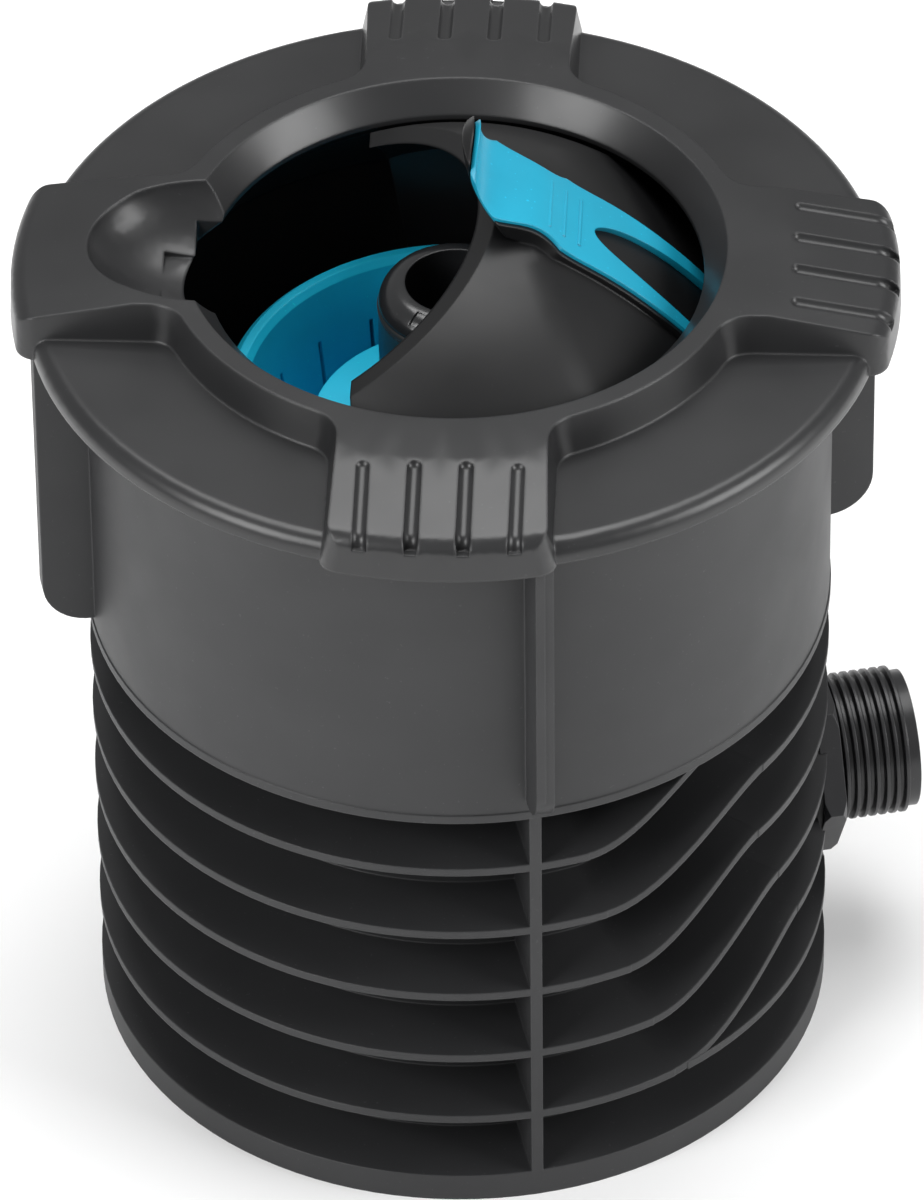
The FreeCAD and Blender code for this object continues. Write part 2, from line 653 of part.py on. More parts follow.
# ---- Dirt sieve ----
def dirt_sieve():
    """A trough: a slotted outer wall, a floor, and a hub that stands round the union nut."""
    top = SIEVE_TOP
    low = SIEVE_FLOOR_Z
    wall_out = SIEVE_R - 1.4
    hub_top = top - HUB_DROP
    profile = [(SIEVE_R, top - SIEVE_RIM_H), (SIEVE_R, top - 1.2), (SIEVE_R - 1.2, top),
               (SIEVE_R - SIEVE_RIM_W + 1.0, top), (SIEVE_R - SIEVE_RIM_W, top - 1.2),
               (SIEVE_FLOOR_R - SIEVE_T, low + SIEVE_T), (HUB_R + HUB_TAPER, low + SIEVE_T),
               (HUB_R, hub_top), (HUB_HOLE_R, hub_top), (HUB_HOLE_R, hub_top - SIEVE_T),
               (HUB_R - SIEVE_T, hub_top - SIEVE_T), (HUB_R + HUB_TAPER - SIEVE_T, low),
               (SIEVE_FLOOR_R, low), (wall_out, top - SIEVE_RIM_H)]
    body = lathe(profile)
    slots = []
    for k in range(SIEVE_SLOTS):
        slot = box(SIEVE_FLOOR_R - 3, SIEVE_R + 1, -SIEVE_SLOT_W / 2, SIEVE_SLOT_W / 2,
                   top - SIEVE_SLOT_LOW, top - SIEVE_SLOT_TOP)
        slots.append(turned(slot, 360.0 / SIEVE_SLOTS * k + 14.0))
        floor_slot = box(HUB_R + 3.2, SIEVE_FLOOR_R - 3.0, -SIEVE_SLOT_W / 2, SIEVE_SLOT_W / 2,
                         low - 1, low + SIEVE_T + 1)
        slots.append(turned(floor_slot, 360.0 / SIEVE_SLOTS * (k + 0.5) + 14.0))
    return body.cut(Part.makeCompound(slots))


# ---- Collar, in its own frame ----
def raised_outline(inset, z):
    """The cross-shaped outline of the raised ring and its four lugs."""
    ring = RING_BOTTOM_R - inset
    half = LUG_HALF_W - inset
    outer = LUG_R - inset * 0.2
    valley = VALLEY_R + inset
    corner = LUG_CORNER_R
    valley_x = math.sqrt((ring + valley) ** 2 - (half + valley) ** 2)
    corner_x = math.sqrt((outer - corner) ** 2 - (half - corner) ** 2)
    valley_c = Vector(valley_x, half + valley, z)
    corner_c = Vector(corner_x, half - corner, z)
    ring_a = math.degrees(math.atan2(valley_c.y, valley_c.x))
    outer_a = math.degrees(math.atan2(corner_c.y, corner_c.x))

    def mid_arc(centre, radius, first, last):
        middle = (first - centre) + (last - centre)
        return centre + middle.normalize() * radius

    edges = []
    for k in range(4):
        turn = 90.0 * k
        quarter = []
        p0 = polar(outer, -outer_a, z)
        p1 = polar(outer, outer_a, z)
        p2 = Vector(corner_x, half, z)
        p3 = Vector(valley_x, half, z)
        p4 = polar(ring, ring_a, z)
        p5 = polar(ring, 90 - ring_a, z)
        p6 = Vector(half, valley_x, z)
        p7 = Vector(half, corner_x, z)
        p8 = polar(outer, 90 - outer_a, z)
        quarter.append(Part.Arc(p0, polar(outer, 0, z), p1).toShape())
        quarter.append(Part.Arc(p1, mid_arc(corner_c, corner, p1, p2), p2).toShape())
        quarter.append(Part.makeLine(p2, p3))
        quarter.append(Part.Arc(p3, mid_arc(valley_c, valley, p3, p4), p4).toShape())
        quarter.append(Part.Arc(p4, polar(ring, 45, z), p5).toShape())
        far_valley = Vector(half + valley, valley_x, z)
        quarter.append(Part.Arc(p5, mid_arc(far_valley, valley, p5, p6), p6).toShape())
        quarter.append(Part.makeLine(p6, p7))
        far_corner = Vector(half - corner, corner_x, z)
        quarter.append(Part.Arc(p7, mid_arc(far_corner, corner, p7, p8), p8).toShape())
        edges += [turned(edge, turn) for edge in quarter]
    return Part.Wire(Part.__sortEdges__(edges))


def lug_height(radius):
    """Height of a lug's top, which falls away towards its outer end."""
    return COLLAR_TOP - LUG_FALL * (radius - LUG_FLAT_R) / (LUG_R - LUG_FLAT_R)


def finger_groove(offset):
    """A round-ended groove that runs out along the lug and over its rounded edge."""
    axis_z = COLLAR_TOP + GROOVE_R - GROOVE_DEPTH
    bend = LUG_R - LUG_ROUND - 0.5
    low = COLLAR_TOP - LUG_ROUND
    parts = [rod(Vector(GROOVE_INNER_R, offset, axis_z), Vector(1, 0, 0), GROOVE_R, bend - GROOVE_INNER_R)]
    parts.append(Part.makeSphere(GROOVE_R, Vector(GROOVE_INNER_R, offset, axis_z)))
    hoop = Part.makeTorus(axis_z - low, GROOVE_R, Vector(bend, offset, low), Vector(0, 1, 0))
    corner = [(bend, low), (bend, axis_z + 5), (bend + 9, axis_z + 5), (bend + 9, low + 3.2)]
    wedge = side_prism(corner, GROOVE_R + 1)
    wedge.translate(Vector(0, offset, 0))
    parts.append(hoop.common(wedge))
    tilt = math.degrees(math.atan2(LUG_FALL, LUG_R - LUG_FLAT_R))
    hinge = Vector(LUG_FLAT_R, 0, COLLAR_TOP)
    return [turned(part, tilt, hinge, Vector(0, 1, 0)) for part in parts]


def scoop_bowl(inset=0.0):
    """The leaf-shaped finger bowl in the -X lug, a squashed ball."""
    ball = Part.makeSphere(1.0)
    matrix = FreeCAD.Matrix()
    matrix.scale(SCOOP_LONG - inset, SCOOP_HALF_W - inset, SCOOP_DEEP - inset)
    bowl = ball.transformGeometry(matrix)
    bowl.translate(Vector(-LIP_R + 0.7, 0, COLLAR_TOP + SCOOP_RISE))
    return bowl


def collar_screw_places():
    radius = NECK_OUT_R - CARRIER_SCREW_IN
    return [polar(radius, CARRIER_SCREW_TURN + 90 * k, COLLAR_Z) for k in range(4)]


def tab_space():
    """Where the shut lid's tab may lie: inside the scoop with its clearance, or inboard of the lip."""
    return scoop_bowl(SCOOP_CLEAR).fuse(box(-LIP_R, BIG, -BIG, BIG, 0, BIG))


def tab_room():
    """The notch in the opening's lip and the pocket behind it, which the lid's tab swings out of."""
    half = TAB_HALF_W + GRIP_BORDER + SCOOP_CLEAR * 2
    notch = box(-LIP_R - 2.5, 0, -half, half, COLLAR_Z - 1, COLLAR_TOP + 1)
    pocket = box(-LIP_R - TAB_SLOT_REACH, 0, -TAB_SLOT_HALF_W, TAB_SLOT_HALF_W, COLLAR_Z + 1.6, COLLAR_TOP + 1)
    return notch.fuse(pocket)


def collar():
    plate = disc(RIM_R, COLLAR_Z, COLLAR_Z + PLATE_T)
    plate = round_edges(plate, RIM_ROUND, lambda e: len(e.Vertexes) == 1
                        and abs(e.CenterOfMass.z - COLLAR_Z - PLATE_T) < 0.01)
    raised = Part.makeLoft([raised_outline(0.0, COLLAR_Z), raised_outline(DRAFT_IN, COLLAR_TOP)], True, True)
    limit = lathe([(0, COLLAR_Z), (LUG_R, COLLAR_Z), (LUG_R, lug_height(LUG_R)),
                   (LUG_FLAT_R, COLLAR_TOP), (0, COLLAR_TOP)])
    limit = round_edges(limit, LUG_ROUND, lambda e: len(e.Vertexes) == 1
                        and abs(e.CenterOfMass.z - lug_height(LUG_R)) < 0.01)
    limit = turned(limit, 45)
    body = fused([plate, raised.common(limit)])
    opening = lathe([(0, COLLAR_Z - 1), (LIP_R, COLLAR_Z - 1), (LIP_R, LIP_Z),
                     (LIP_R + OPENING_FLARE, COLLAR_TOP), (LIP_R + OPENING_FLARE, COLLAR_TOP + 1),
                     (0, COLLAR_TOP + 1)])
    cuts = [opening, Part.makeSphere(BALL_R + 0.7, LID_PIVOT), scoop_bowl(), tab_room()]
    for k in (0, 1, 3):
        for step in (-1.5, -0.5, 0.5, 1.5):
            cuts += [turned(part, 90 * k) for part in finger_groove(step * GROOVE_STEP)]
    for place in collar_screw_places():
        cuts.append(rod(place - Vector(0, 0, 1), Z_AXIS, SCREW_R, CARRIER_SCREW_L - NECK_FLANGE_T + 2))
    for cut in cuts:
        body = body.cut(cut)
    return body


def lid_carrier():
    """The bayonet neck under the collar, its screw flange, studs and the two ears for the lid."""
    low = COLLAR_Z - NECK_H
    neck = tube(NECK_OUT_R, NECK_IN_R, low, COLLAR_Z)
    flange = tube(NECK_OUT_R, NECK_OUT_R - 10.0, COLLAR_Z - NECK_FLANGE_T, COLLAR_Z)
    parts = [neck, flange]
    for k in range(4):
        middle = 45 - COLLAR_TURN + 90 * k
        parts.append(ring_sector(BODY_IN_R - STUD_CLEAR, NECK_OUT_R - NECK_T / 2, STUD_TOP - STUD_H,
                                 STUD_TOP, middle, STUD_HALF))
    inner_y = CHEEK_Y + EAR_GAP
    for side in (0, 180):
        ear = box(-EAR_HALF_W, EAR_HALF_W, inner_y, inner_y + EAR_T, PIVOT_Z, COLLAR_Z)
        tip = rod(Vector(0, inner_y, PIVOT_Z), Vector(0, 1, 0), EAR_HALF_W, EAR_T)
        parts.append(turned(ear.fuse(tip), side))
    body = fused(parts)
    body = body.cut(Part.makeSphere(BALL_R + 0.7, LID_PIVOT).common(
        box(-BIG, BIG, -inner_y, inner_y, 0, BIG)))
    body = body.cut(rod(Vector(0, -BIG, PIVOT_Z), Vector(0, 1, 0), PIN_R, 2 * BIG))
    for place in collar_screw_places():
        body = body.cut(rod(place - Vector(0, 0, NECK_FLANGE_T + 1), Z_AXIS, SCREW_R, NECK_FLANGE_T + 2))
    return body


def carrier_screws():
    screws = []
    for place in collar_screw_places():
        screws.append(screw_solid(place - Vector(0, 0, NECK_FLANGE_T), CARRIER_SCREW_L, False))
    return Part.makeCompound(screws)


# ---- Ball lid, shut, in the collar's frame ----
def dome_ball(inset=0.0):
    """The large ball whose cap is the lid's shallow top."""
    radius = (LID_RIM_R ** 2 + DOME_RISE ** 2) / (2 * DOME_RISE)
    return Part.makeSphere(radius - inset, Vector(0, 0, LID_RIM_Z + DOME_RISE - radius))


def grip_curve(drop, points):
    """Heights of the grip's upper side over points along X, lowered by drop."""
    radius = (LID_RIM_R ** 2 + DOME_RISE ** 2) / (2 * DOME_RISE)
    centre_z = LID_RIM_Z + DOME_RISE - radius
    reach = radius + GRIP_T
    out = []
    for x in points:
        height = centre_z + math.sqrt(reach ** 2 - x ** 2) - drop
        lifted = GRIP_LIFT_L - LID_RIM_R - x
        if lifted > 0:
            height += GRIP_LIFT * lifted ** 2
        out.append((x, height))
    return out


def band_solid(drop_top, drop_low, border):
    """A slab between two drops below the grip's upper side, longer by the border at both ends."""
    crease = -LID_RIM_R - CREASE_OUT
    strip = grip_curve(0.0, [GRIP_END_X + border, 0.5 * LID_RIM_R, 0.0, -0.375 * LID_RIM_R,
                             -0.7 * LID_RIM_R, 5.0 - LID_RIM_R, -LID_RIM_R])
    shoulder = (crease + 2.6, LID_RIM_Z + 2.0)
    valley = (crease, LID_RIM_Z + 0.6)
    tip = (crease - TAB_REACH - border, LID_RIM_Z + TAB_RISE)
    line = strip + [shoulder, valley, tip]
    upper = [Vector(x, -BAND_HALF_W, z - drop_top) for x, z in line]
    lower = [Vector(x, -BAND_HALF_W, z - drop_low) for x, z in line]
    edges = []
    for points in (upper, lower):
        curve = Part.BSplineCurve()
        curve.interpolate(points)
        edges.append(curve.toShape())
    edges.append(Part.makeLine(upper[-1], lower[-1]))
    edges.append(Part.makeLine(upper[0], lower[0]))
    face = Part.Face(Part.Wire(Part.__sortEdges__(edges)))
    return face.extrude(Vector(0, 2 * BAND_HALF_W, 0))


def grip_plan(border):
    """The strip's outline from above, straight along the lid and rounded at the tab."""
    half = GRIP_HALF_W + border
    wide = TAB_HALF_W + border
    crease = -LID_RIM_R - CREASE_OUT
    tip = crease - TAB_REACH - border
    side = [Vector(LID_RIM_R + 2, half, 0), Vector(crease + 9, half, 0)]
    flare = Part.BSplineCurve()
    flare.interpolate([Vector(crease + 9, half, 0), Vector(crease, half - 0.3, 0),
                       Vector(crease - 5, wide, 0), Vector(tip + 3.2, wide * 0.72, 0), Vector(tip, 0, 0),
                       Vector(tip + 3.2, -wide * 0.72, 0), Vector(crease - 5, -wide, 0),
                       Vector(crease, -half + 0.3, 0), Vector(crease + 9, -half, 0)])
    edges = [Part.makeLine(side[0], side[1]), flare.toShape(),
             Part.makeLine(Vector(crease + 9, -half, 0), Vector(LID_RIM_R + 2, -half, 0)),
             Part.makeLine(Vector(LID_RIM_R + 2, -half, 0), side[0])]
    face = Part.Face(Part.Wire(Part.__sortEdges__(edges)))
    face.translate(Vector(0, 0, LID_RIM_Z - 20))
    return face.extrude(Vector(0, 0, 60))


def lid_outline():
    """The lid's side outline: upright front edge, sloping rear edge, and the pivot boss."""
    rear = math.radians(LID_REAR_ANGLE)
    boss = LID_BOSS_R
    corners = [(-LID_FRONT_TOP, PIVOT_Z + BALL_R + 5), (-LID_FRONT_TOP, LID_RIM_Z - 5.0),
               (-LID_FRONT_LOW, PIVOT_Z + LID_FRONT_LOW_Z), (-boss * 0.74, PIVOT_Z - boss * 0.66),
               (boss * 0.74, PIVOT_Z - boss * 0.66),
               (BALL_R * math.cos(rear), PIVOT_Z + BALL_R * math.sin(rear)),
               (BALL_R * math.cos(rear), PIVOT_Z + BALL_R + 5)]
    prism = side_prism(corners, BIG / 2)
    return prism.fuse(rod(Vector(0, -BIG / 2, PIVOT_Z), Vector(0, 1, 0), boss, BIG))


def ball_lid():
    ball = Part.makeSphere(BALL_R, LID_PIVOT)
    hollow = Part.makeSphere(BALL_R - LID_T, LID_PIVOT)
    slab = box(-BIG, BIG, -CHEEK_Y, CHEEK_Y, 0, BIG)
    inner_y = CHEEK_Y - LID_T
    inner_slab = box(-BIG, BIG, -inner_y, inner_y, 0, BIG)
    shell = ball.common(dome_ball()).common(slab)
    inside = hollow.common(dome_ball(LID_T)).common(inner_slab)
    shell = shell.cut(inside).common(lid_outline())
    boss_y = CHEEK_Y - LID_BOSS_T
    for side in (-1, 1):
        start = min(side * boss_y, side * CHEEK_Y)
        boss = rod(Vector(0, start, PIVOT_Z), Vector(0, 1, 0), LID_BOSS_R, LID_BOSS_T)
        shell = shell.fuse(boss)
    tab = band_solid(GRIP_T - GRIP_SINK, GRIP_T + TAB_T, GRIP_BORDER)
    tab = tab.common(grip_plan(GRIP_BORDER)).common(tab_space())
    body = fused([shell, tab])
    body = body.cut(grip_blank())
    bore = rod(Vector(0, -BIG, PIVOT_Z), Vector(0, 1, 0), PIN_R + PIN_CLEAR, 2 * BIG)
    return body.cut(bore)


def grip_blank():
    """The grip before its window and ridges."""
    band = band_solid(0.0, GRIP_T, 0.0)
    return band.common(grip_plan(0.0)).common(tab_space())


def lid_grip():
    window = Part.Ellipse(Vector(0, 0, 0), WINDOW_HALF_L, WINDOW_HALF_W).toShape()
    window = Part.Face(Part.Wire(window))
    window.translate(Vector(0, 0, LID_RIM_Z - 5))
    window = window.extrude(Vector(0, 0, 40))
    body = grip_blank().cut(window)
    ridges = []
    for x, z in grip_curve(0.1, [x - LID_RIM_R for x in GRIP_RIDGE_IN]):
        ridge = rod(Vector(x, -GRIP_RIDGE_HALF, z), Vector(0, 1, 0), GRIP_RIDGE_R, 2 * GRIP_RIDGE_HALF)
        ridges.append(ridge)
    return fused([body] + ridges)


def lid_pin(side):
    """A headed pin, pushed through the ear into the lid's boss."""
    out = CHEEK_Y + EAR_GAP + EAR_T
    length = out - (CHEEK_Y - LID_BOSS_T)
    pin = rod(Vector(0, out - length, PIVOT_Z), Vector(0, 1, 0), PIN_R, length)
    head = rod(Vector(0, out, PIVOT_Z), Vector(0, 1, 0), PIN_HEAD_R, PIN_HEAD_T)
    head = round_edges(head, 0.6, lambda e: abs(e.CenterOfMass.y - out - PIN_HEAD_T) < 0.01)
    body = pin.fuse(head).removeSplitter()
    return turned(body, 0 if side > 0 else 180)


def lid_washer(side):
    ring = rod(Vector(0, CHEEK_Y + 0.05, PIVOT_Z), Vector(0, 1, 0), WASHER_R, EAR_GAP - 0.05)
    ring = ring.cut(rod(Vector(0, CHEEK_Y - 1, PIVOT_Z), Vector(0, 1, 0), PIN_R, 3))
    return turned(ring, 0 if side > 0 else 180)


# ---- Placing and writing ----
def on_collar(shape):
    return turned(shape, COLLAR_TURN)


def on_lid(shape):
    opened = turned(shape, LID_OPEN, LID_PIVOT, Vector(0, 1, 0))
    return on_collar(opened)


NODES = {
    "housing": housing,
    "inlet_elbow": inlet_elbow,
    "inlet_lock_nut": inlet_lock_nut,
    "inlet_gasket": inlet_gasket,
    "riser_screws": riser_screws,
    "riser_gasket": riser_gasket,
    "spigot": spigot,
    "spigot_o_ring": spigot_o_ring,
    "spigot_union_nut": spigot_union_nut,
    "valve_plunger": valve_plunger,
    "valve_seal": valve_seal,
    "valve_spring": valve_spring,
    "spring_retainer": spring_retainer,
    "dirt_sieve": dirt_sieve,
    "collar": lambda: on_collar(collar()),
    "lid_carrier": lambda: on_collar(lid_carrier()),
    "carrier_screws": lambda: on_collar(carrier_screws()),
    "lid_pin_left": lambda: on_collar(lid_pin(1)),
    "lid_pin_right": lambda: on_collar(lid_pin(-1)),
    "lid_washer_left": lambda: on_collar(lid_washer(1)),
    "lid_washer_right": lambda: on_collar(lid_washer(-1)),
    "ball_lid": lambda: on_lid(ball_lid()),
    "lid_grip": lambda: on_lid(lid_grip()),
}

os.makedirs("parts", exist_ok=True)
for name, make in NODES.items():
    shape = make()
    print(name, shape.isValid(), len(shape.Solids), round(shape.Volume, 1))
    shape.exportStep("parts/" + name + ".step")
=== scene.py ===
import math

import bpy
from mathutils import Matrix, Vector

# Looks of the ground water box: finishes for every piece, fine moulded detail, camera and light.
# Lengths are metres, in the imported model's own frame.
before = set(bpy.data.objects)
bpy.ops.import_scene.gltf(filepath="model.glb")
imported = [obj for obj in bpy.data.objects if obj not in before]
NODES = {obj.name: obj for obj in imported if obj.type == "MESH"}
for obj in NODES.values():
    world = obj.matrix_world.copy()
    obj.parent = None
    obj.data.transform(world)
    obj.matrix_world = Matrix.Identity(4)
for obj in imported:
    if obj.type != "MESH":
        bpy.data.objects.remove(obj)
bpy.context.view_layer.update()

# ---- Finishes ----
MM = 0.001
CHARCOAL = (0.0235, 0.0238, 0.0250)
LID_GREY = (0.0045, 0.0046, 0.0050)
FITTING_BLACK = (0.014, 0.014, 0.0155)
SPIGOT_BLACK = (0.012, 0.0125, 0.0135)
POOL_BLUE = (0.006, 0.300, 0.450)
SIEVE_BLUE = (0.012, 0.520, 0.760)
RUBBER_BLACK = (0.010, 0.010, 0.010)
STEEL_GREY = (0.56, 0.56, 0.55)
BRASS_GOLD = (0.62, 0.42, 0.15)
SMOOTH_ANGLE = math.radians(32)
JOIN_DISTANCE = 0.002 * MM
NORMAL_WEIGHT = 60
BEVEL_SAMPLES = 6
GRAIN_DEPTH = 0.02 * MM
LINE_DEPTH = 0.01 * MM
PLASTIC_IOR = 1.49
COAT_ROUGHNESS = 0.18


class Tree:
    """A material's node tree, with short calls for adding and joining nodes."""

    def __init__(self, name):
        self.material = bpy.data.materials.new(name)
        self.material.use_nodes = True
        self.tree = self.material.node_tree
        self.shader = self.tree.nodes["Principled BSDF"]
        self.place = self.add("ShaderNodeTexCoord").outputs["Object"]

    def add(self, kind, **settings):
        node = self.tree.nodes.new(kind)
        for key, value in settings.items():
            setattr(node, key, value)
        return node

    def join(self, source, target):
        self.tree.links.new(source, target)

    def noise(self, scale, detail=3.0, roughness=0.55, stretch=None):
        place = self.place
        if stretch:
            mapping = self.add("ShaderNodeMapping")
            mapping.inputs["Scale"].default_value = stretch
            self.join(place, mapping.inputs["Vector"])
            place = mapping.outputs["Vector"]
        node = self.add("ShaderNodeTexNoise")
        node.inputs["Scale"].default_value = scale
        node.inputs["Detail"].default_value = detail
        node.inputs["Roughness"].default_value = roughness
        self.join(place, node.inputs["Vector"])
        return node.outputs["Fac"]

    def span(self, value, low_in, high_in, low_out, high_out):
        node = self.add("ShaderNodeMapRange")
        node.inputs["From Min"].default_value = low_in
        node.inputs["From Max"].default_value = high_in
        node.inputs["To Min"].default_value = low_out
        node.inputs["To Max"].default_value = high_out
        self.join(value, node.inputs["Value"])
        return node.outputs["Result"]

    def mix(self, factor, first, second):
        """Two colours mixed by factor; a colour is a socket or an RGB triple."""
        node = self.add("ShaderNodeMix", data_type="RGBA")
        self.join(factor, node.inputs[0])
        for slot, colour in ((6, first), (7, second)):
            if isinstance(colour, tuple):
                node.inputs[slot].default_value = (*colour, 1.0)
            else:
                self.join(colour, node.inputs[slot])
        return node.outputs[2]

    def maths(self, operation, first, second):
        node = self.add("ShaderNodeMath", operation=operation)
        for slot, value in ((0, first), (1, second)):
            if isinstance(value, float):
                node.inputs[slot].default_value = value
            else:
                self.join(value, node.inputs[slot])
        return node.outputs[0]

    def rounded_normal(self, radius):
        node = self.add("ShaderNodeBevel", samples=BEVEL_SAMPLES)
        node.inputs["Radius"].default_value = radius
        return node.outputs["Normal"]

    def bump(self, height, distance, strength, normal):
        node = self.add("ShaderNodeBump")
        node.inputs["Distance"].default_value = distance
        node.inputs["Strength"].default_value = strength
        self.join(height, node.inputs["Height"])
        self.join(normal, node.inputs["Normal"])
        return node.outputs["Normal"]

    def edge_polish_and_highlight_mask(self, normal, low, high):
        """0 on flats, 1 on rounded edges: the mask for edge polish and for a painted edge highlight that partly
        also stands for light wear.
        """
        geometry = self.add("ShaderNodeNewGeometry").outputs["Normal"]
        dot = self.add("ShaderNodeVectorMath", operation="DOT_PRODUCT")
        self.join(normal, dot.inputs[0])
        self.join(geometry, dot.inputs[1])
        return self.span(dot.outputs["Value"], high, low, 0.0, 1.0)


def lighter(colour, times):
    return tuple(min(1.0, part * times) for part in colour)


def moulded(name, colour, rough, grain=0.35, grain_size=0.45 * MM, edge=0.45 * MM, coat=0.0, edge_highlight_and_speck_lift=1.9,
            shine=0.5):
    """Injection-moulded plastic: fine spark-eroded grain, cloudy tone, dust specks, polished edges lightened by a
    painted edge highlight.
    """
    t = Tree(name)
    cloud = t.noise(28.0, 4.0)
    tone = t.mix(t.span(cloud, 0.3, 0.7, 0.0, 1.0), lighter(colour, 0.90), lighter(colour, 1.12))
    flow = t.noise(9.0, 3.0, stretch=(1.0, 1.0, 5.0))
    tone = t.mix(t.span(flow, 0.45, 0.75, 0.0, 0.35), tone, lighter(colour, 1.22))
    speck = t.noise(1500.0, 1.0)
    tone = t.mix(t.span(speck, 0.735, 0.78, 0.0, 0.5), tone, lighter(colour, edge_highlight_and_speck_lift * 1.5))
    corner = t.rounded_normal(edge)
    edge_polish_and_highlight = t.edge_polish_and_highlight_mask(corner, 0.80, 0.985)
    # Painted highlight: rounded edges are lightened in colour to stand in for the light they catch, partly also
    # as light wear.
    tone = t.mix(t.maths("MULTIPLY", edge_polish_and_highlight, 0.6), tone, lighter(colour, edge_highlight_and_speck_lift))
    t.join(tone, t.shader.inputs["Base Color"])
    fine = t.noise(1.0 / grain_size, 2.0, 0.6)
    broad = t.noise(60.0, 3.0)
    dull = t.span(broad, 0.3, 0.7, rough - 0.035, rough + 0.035)
    dull = t.maths("SUBTRACT", dull, t.maths("MULTIPLY", edge_polish_and_highlight, 0.08))
    t.join(dull, t.shader.inputs["Roughness"])
    t.join(t.bump(fine, GRAIN_DEPTH, grain, corner), t.shader.inputs["Normal"])
    t.shader.inputs["IOR"].default_value = PLASTIC_IOR
    t.shader.inputs["Specular IOR Level"].default_value = shine
    t.shader.inputs["Coat Weight"].default_value = coat
    t.shader.inputs["Coat Roughness"].default_value = COAT_ROUGHNESS
    return t.material


def rubber(name):
    t = Tree(name)
    bloom = t.noise(45.0, 4.0)
    dusty = lighter(RUBBER_BLACK, 2.6)
    t.join(t.mix(t.span(bloom, 0.35, 0.75, 0.0, 1.0), RUBBER_BLACK, dusty), t.shader.inputs["Base Color"])
    t.join(t.span(bloom, 0.3, 0.7, 0.55, 0.75), t.shader.inputs["Roughness"])
    corner = t.rounded_normal(0.2 * MM)
    t.join(t.bump(t.noise(1800.0), GRAIN_DEPTH, 0.3, corner), t.shader.inputs["Normal"])
    return t.material


def metal(name, colour, rough, stretch):
    """Drawn or turned metal with fine lines and a little tarnish."""
    t = Tree(name)
    lines = t.noise(900.0, 2.0, stretch=stretch)
    stain = t.noise(120.0, 4.0)
    t.join(t.mix(t.span(stain, 0.4, 0.75, 0.0, 0.6), colour, lighter(colour, 0.6)), t.shader.inputs["Base Color"])
    t.join(t.span(lines, 0.3, 0.7, rough - 0.06, rough + 0.08), t.shader.inputs["Roughness"])
    corner = t.rounded_normal(0.15 * MM)
    t.join(t.bump(lines, LINE_DEPTH, 0.25, corner), t.shader.inputs["Normal"])
    t.shader.inputs["Metallic"].default_value = 1.0
    return t.material


HOUSING = moulded("housing_plastic", CHARCOAL, 0.50, grain=0.30, shine=0.44)
COLLAR = moulded("collar_plastic", lighter(CHARCOAL, 0.70), 0.35, grain=0.13, edge=0.7 * MM,
                 coat=0.12, shine=0.46)
LID = moulded("lid_plastic", LID_GREY, 0.42, grain=0.26, edge=0.6 * MM, shine=0.40)
FITTING = moulded("fitting_plastic", FITTING_BLACK, 0.38, grain=0.14, edge=0.25 * MM, coat=0.1)
SPIGOT = moulded("spigot_plastic", SPIGOT_BLACK, 0.22, grain=0.05, edge=0.5 * MM, coat=0.35)
BLUE = moulded("blue_plastic", POOL_BLUE, 0.40, grain=0.14, edge=0.4 * MM, edge_highlight_and_speck_lift=1.25)
SIEVE = moulded("sieve_plastic", SIEVE_BLUE, 0.40, grain=0.14, edge=0.4 * MM, edge_highlight_and_speck_lift=1.2)
RUBBER = rubber("rubber")
STEEL = metal("steel", STEEL_GREY, 0.34, (1.0, 1.0, 12.0))
BRASS = metal("brass", BRASS_GOLD, 0.30, (1.0, 1.0, 12.0))

FINISHES = {
    "housing": HOUSING,
    "collar": COLLAR,
    "lid_carrier": COLLAR,
    "ball_lid": LID,
    "lid_grip": BLUE,
    "dirt_sieve": SIEVE,
    "spigot": SPIGOT,
    "spigot_union_nut": FITTING,
    "inlet_elbow": FITTING,
    "inlet_lock_nut": FITTING,
    "valve_plunger": FITTING,
    "spigot_o_ring": RUBBER,
    "riser_gasket": RUBBER,
    "inlet_gasket": RUBBER,
    "valve_seal": RUBBER,
    "lid_washer_left": RUBBER,
    "lid_washer_right": RUBBER,
    "spring_retainer": BRASS,
    "valve_spring": STEEL,
    "riser_screws": STEEL,
    "carrier_screws": STEEL,
    "lid_pin_left": STEEL,
    "lid_pin_right": STEEL,
}


def angle_smoothing():
    """A geometry node group that shades smooth except across edges sharper than the angle."""
    group = bpy.data.node_groups.new("smooth_by_angle", "GeometryNodeTree")
    group.interface.new_socket("Geometry", in_out="INPUT", socket_type="NodeSocketGeometry")
    group.interface.new_socket("Geometry", in_out="OUTPUT", socket_type="NodeSocketGeometry")
    add = group.nodes.new
    start = add("NodeGroupInput")
    end = add("NodeGroupOutput")
    face = add("GeometryNodeSetShadeSmooth")
    edge = add("GeometryNodeSetShadeSmooth")
    edge.domain = "EDGE"
    angle = add("GeometryNodeInputMeshEdgeAngle")
    compare = add("FunctionNodeCompare")
    compare.operation = "LESS_THAN"
    compare.inputs["B"].default_value = SMOOTH_ANGLE
    group.links.new(start.outputs[0], face.inputs["Geometry"])
    group.links.new(face.outputs[0], edge.inputs["Geometry"])
    group.links.new(angle.outputs["Unsigned Angle"], compare.inputs["A"])
    group.links.new(compare.outputs[0], edge.inputs["Shade Smooth"])
    group.links.new(edge.outputs[0], end.inputs[0])
    return group


SMOOTHING = angle_smoothing()


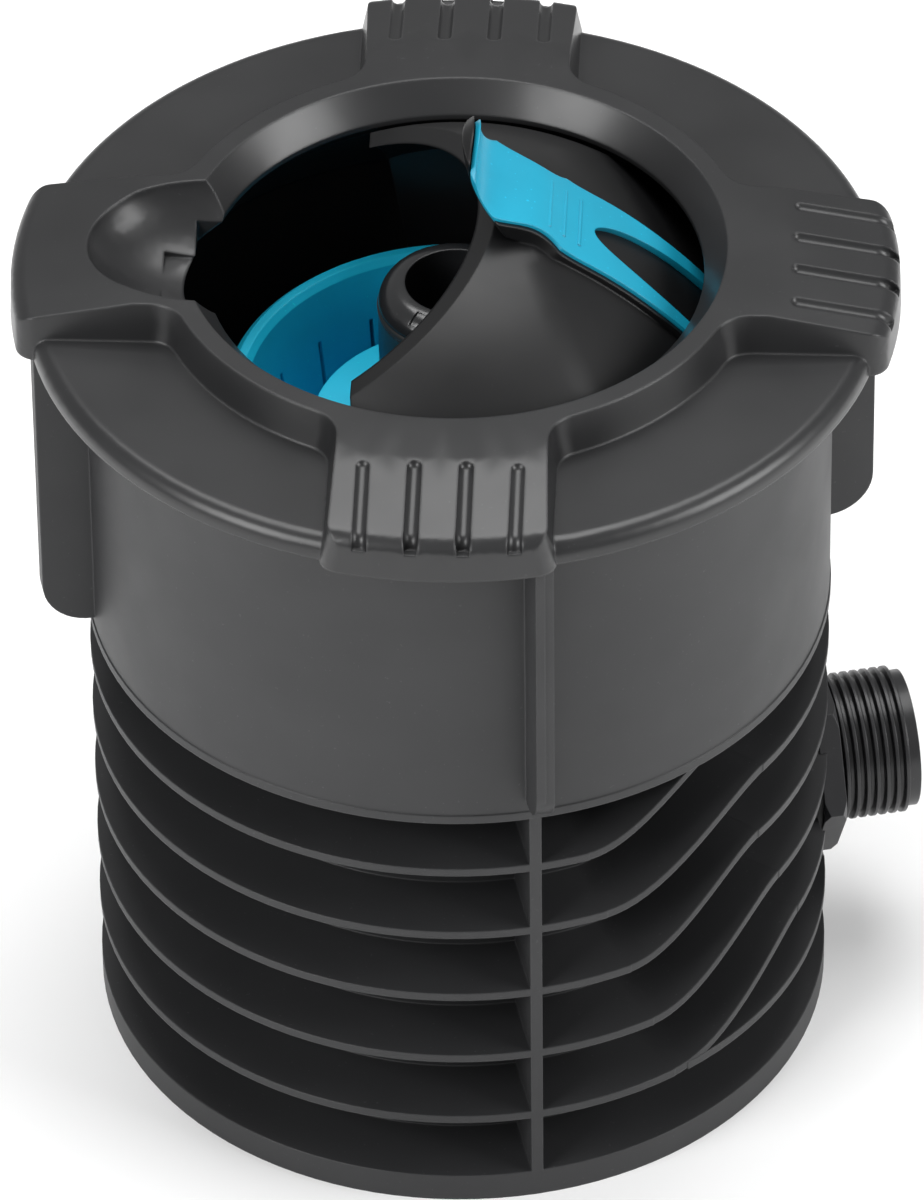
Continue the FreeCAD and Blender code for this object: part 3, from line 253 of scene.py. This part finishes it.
def dress(piece, material):
    """Gives a piece its finish and clean shading: joined corners, and creases only at real edges."""
    mesh = piece.data
    mesh.materials.clear()
    mesh.materials.append(material)
    if "custom_normal" in mesh.attributes:
        mesh.attributes.remove(mesh.attributes["custom_normal"])
    weld = piece.modifiers.new("join_corners", "WELD")
    weld.merge_threshold = JOIN_DISTANCE
    smooth = piece.modifiers.new("smooth_by_angle", "NODES")
    smooth.node_group = SMOOTHING
    weighted = piece.modifiers.new("weighted_normal", "WEIGHTED_NORMAL")
    weighted.keep_sharp = True
    weighted.weight = NORMAL_WEIGHT


for node_name, finish in FINISHES.items():
    dress(NODES[node_name], finish)


# ---- Floor, light and camera ----
PALE_FLOOR = (0.95, 0.95, 0.95)
FLOOR_HALF = 3.0
WORLD_STRENGTH = 0.34
LIGHT_AIM = (0.0, 0.0, 0.1)
SOFTBOXES = [
    # name, place, width, height, watts
    ("left", (-1.05, -0.55, 0.80), 0.7, 0.7, 13.0),
    ("right", (1.05, -0.60, 0.70), 0.7, 0.7, 12.0),
    ("top", (0.05, 0.30, 1.20), 1.0, 0.7, 11.0),
]
CAMERA_AZIMUTH = math.radians(-11.186)
CAMERA_ELEVATION = math.radians(40.41)
CAMERA_ROLL = math.radians(-0.664)
CAMERA_DISTANCE = 2.0314
CAMERA_TARGET = Vector((0.0, 0.0, 0.080))
CAMERA_LENS = 346.57
CAMERA_SHIFT = (0.00214, 0.01170)


def floor():
    mesh = bpy.data.meshes.new("floor")
    corners = [(x * FLOOR_HALF, y * FLOOR_HALF, 0.0) for x, y in ((-1, -1), (1, -1), (1, 1), (-1, 1))]
    mesh.from_pydata(corners, [], [(0, 1, 2, 3)])
    plane = bpy.data.objects.new("floor", mesh)
    bpy.context.scene.collection.objects.link(plane)
    t = Tree("pale_floor")
    haze = t.noise(3.0, 2.0)
    t.join(t.mix(haze, lighter(PALE_FLOOR, 0.985), PALE_FLOOR), t.shader.inputs["Base Color"])
    t.shader.inputs["Roughness"].default_value = 0.85
    mesh.materials.append(t.material)


def softbox(name, place, width, height, power):
    data = bpy.data.lights.new(name, "AREA")
    data.shape = "RECTANGLE"
    data.size = width
    data.size_y = height
    data.energy = power
    lamp = bpy.data.objects.new(name, data)
    lamp.location = place
    lamp.rotation_euler = (Vector(LIGHT_AIM) - Vector(place)).to_track_quat("-Z", "Y").to_euler()
    bpy.context.scene.collection.objects.link(lamp)


def studio():
    world = bpy.data.worlds.new("studio")
    world.use_nodes = True
    background = world.node_tree.nodes["Background"]
    background.inputs["Color"].default_value = (1.0, 1.0, 1.0, 1.0)
    background.inputs["Strength"].default_value = WORLD_STRENGTH
    bpy.context.scene.world = world
    bpy.context.scene.view_settings.view_transform = "Standard"
    for box in SOFTBOXES:
        softbox(*box)


def camera():
    """A long lens, high in front and a little to the left."""
    level = math.cos(CAMERA_ELEVATION)
    back = Vector((math.sin(CAMERA_AZIMUTH) * level, -math.cos(CAMERA_AZIMUTH) * level,
                   math.sin(CAMERA_ELEVATION)))
    right = back.cross(Vector((0, 0, 1))) * -1
    right.normalize()
    up = back.cross(right)
    rolled_right = right * math.cos(CAMERA_ROLL) + up * math.sin(CAMERA_ROLL)
    rolled_up = up * math.cos(CAMERA_ROLL) - right * math.sin(CAMERA_ROLL)
    data = bpy.data.cameras.new("camera")
    data.sensor_width = 36.0
    data.lens = CAMERA_LENS
    data.shift_x, data.shift_y = CAMERA_SHIFT
    data.clip_end = 20.0
    holder = bpy.data.objects.new("camera", data)
    turn = Matrix((rolled_right, rolled_up, back)).transposed().to_4x4()
    holder.matrix_world = Matrix.Translation(CAMERA_TARGET + back * CAMERA_DISTANCE) @ turn
    bpy.context.scene.collection.objects.link(holder)
    bpy.context.scene.camera = holder


floor()
studio()
camera()
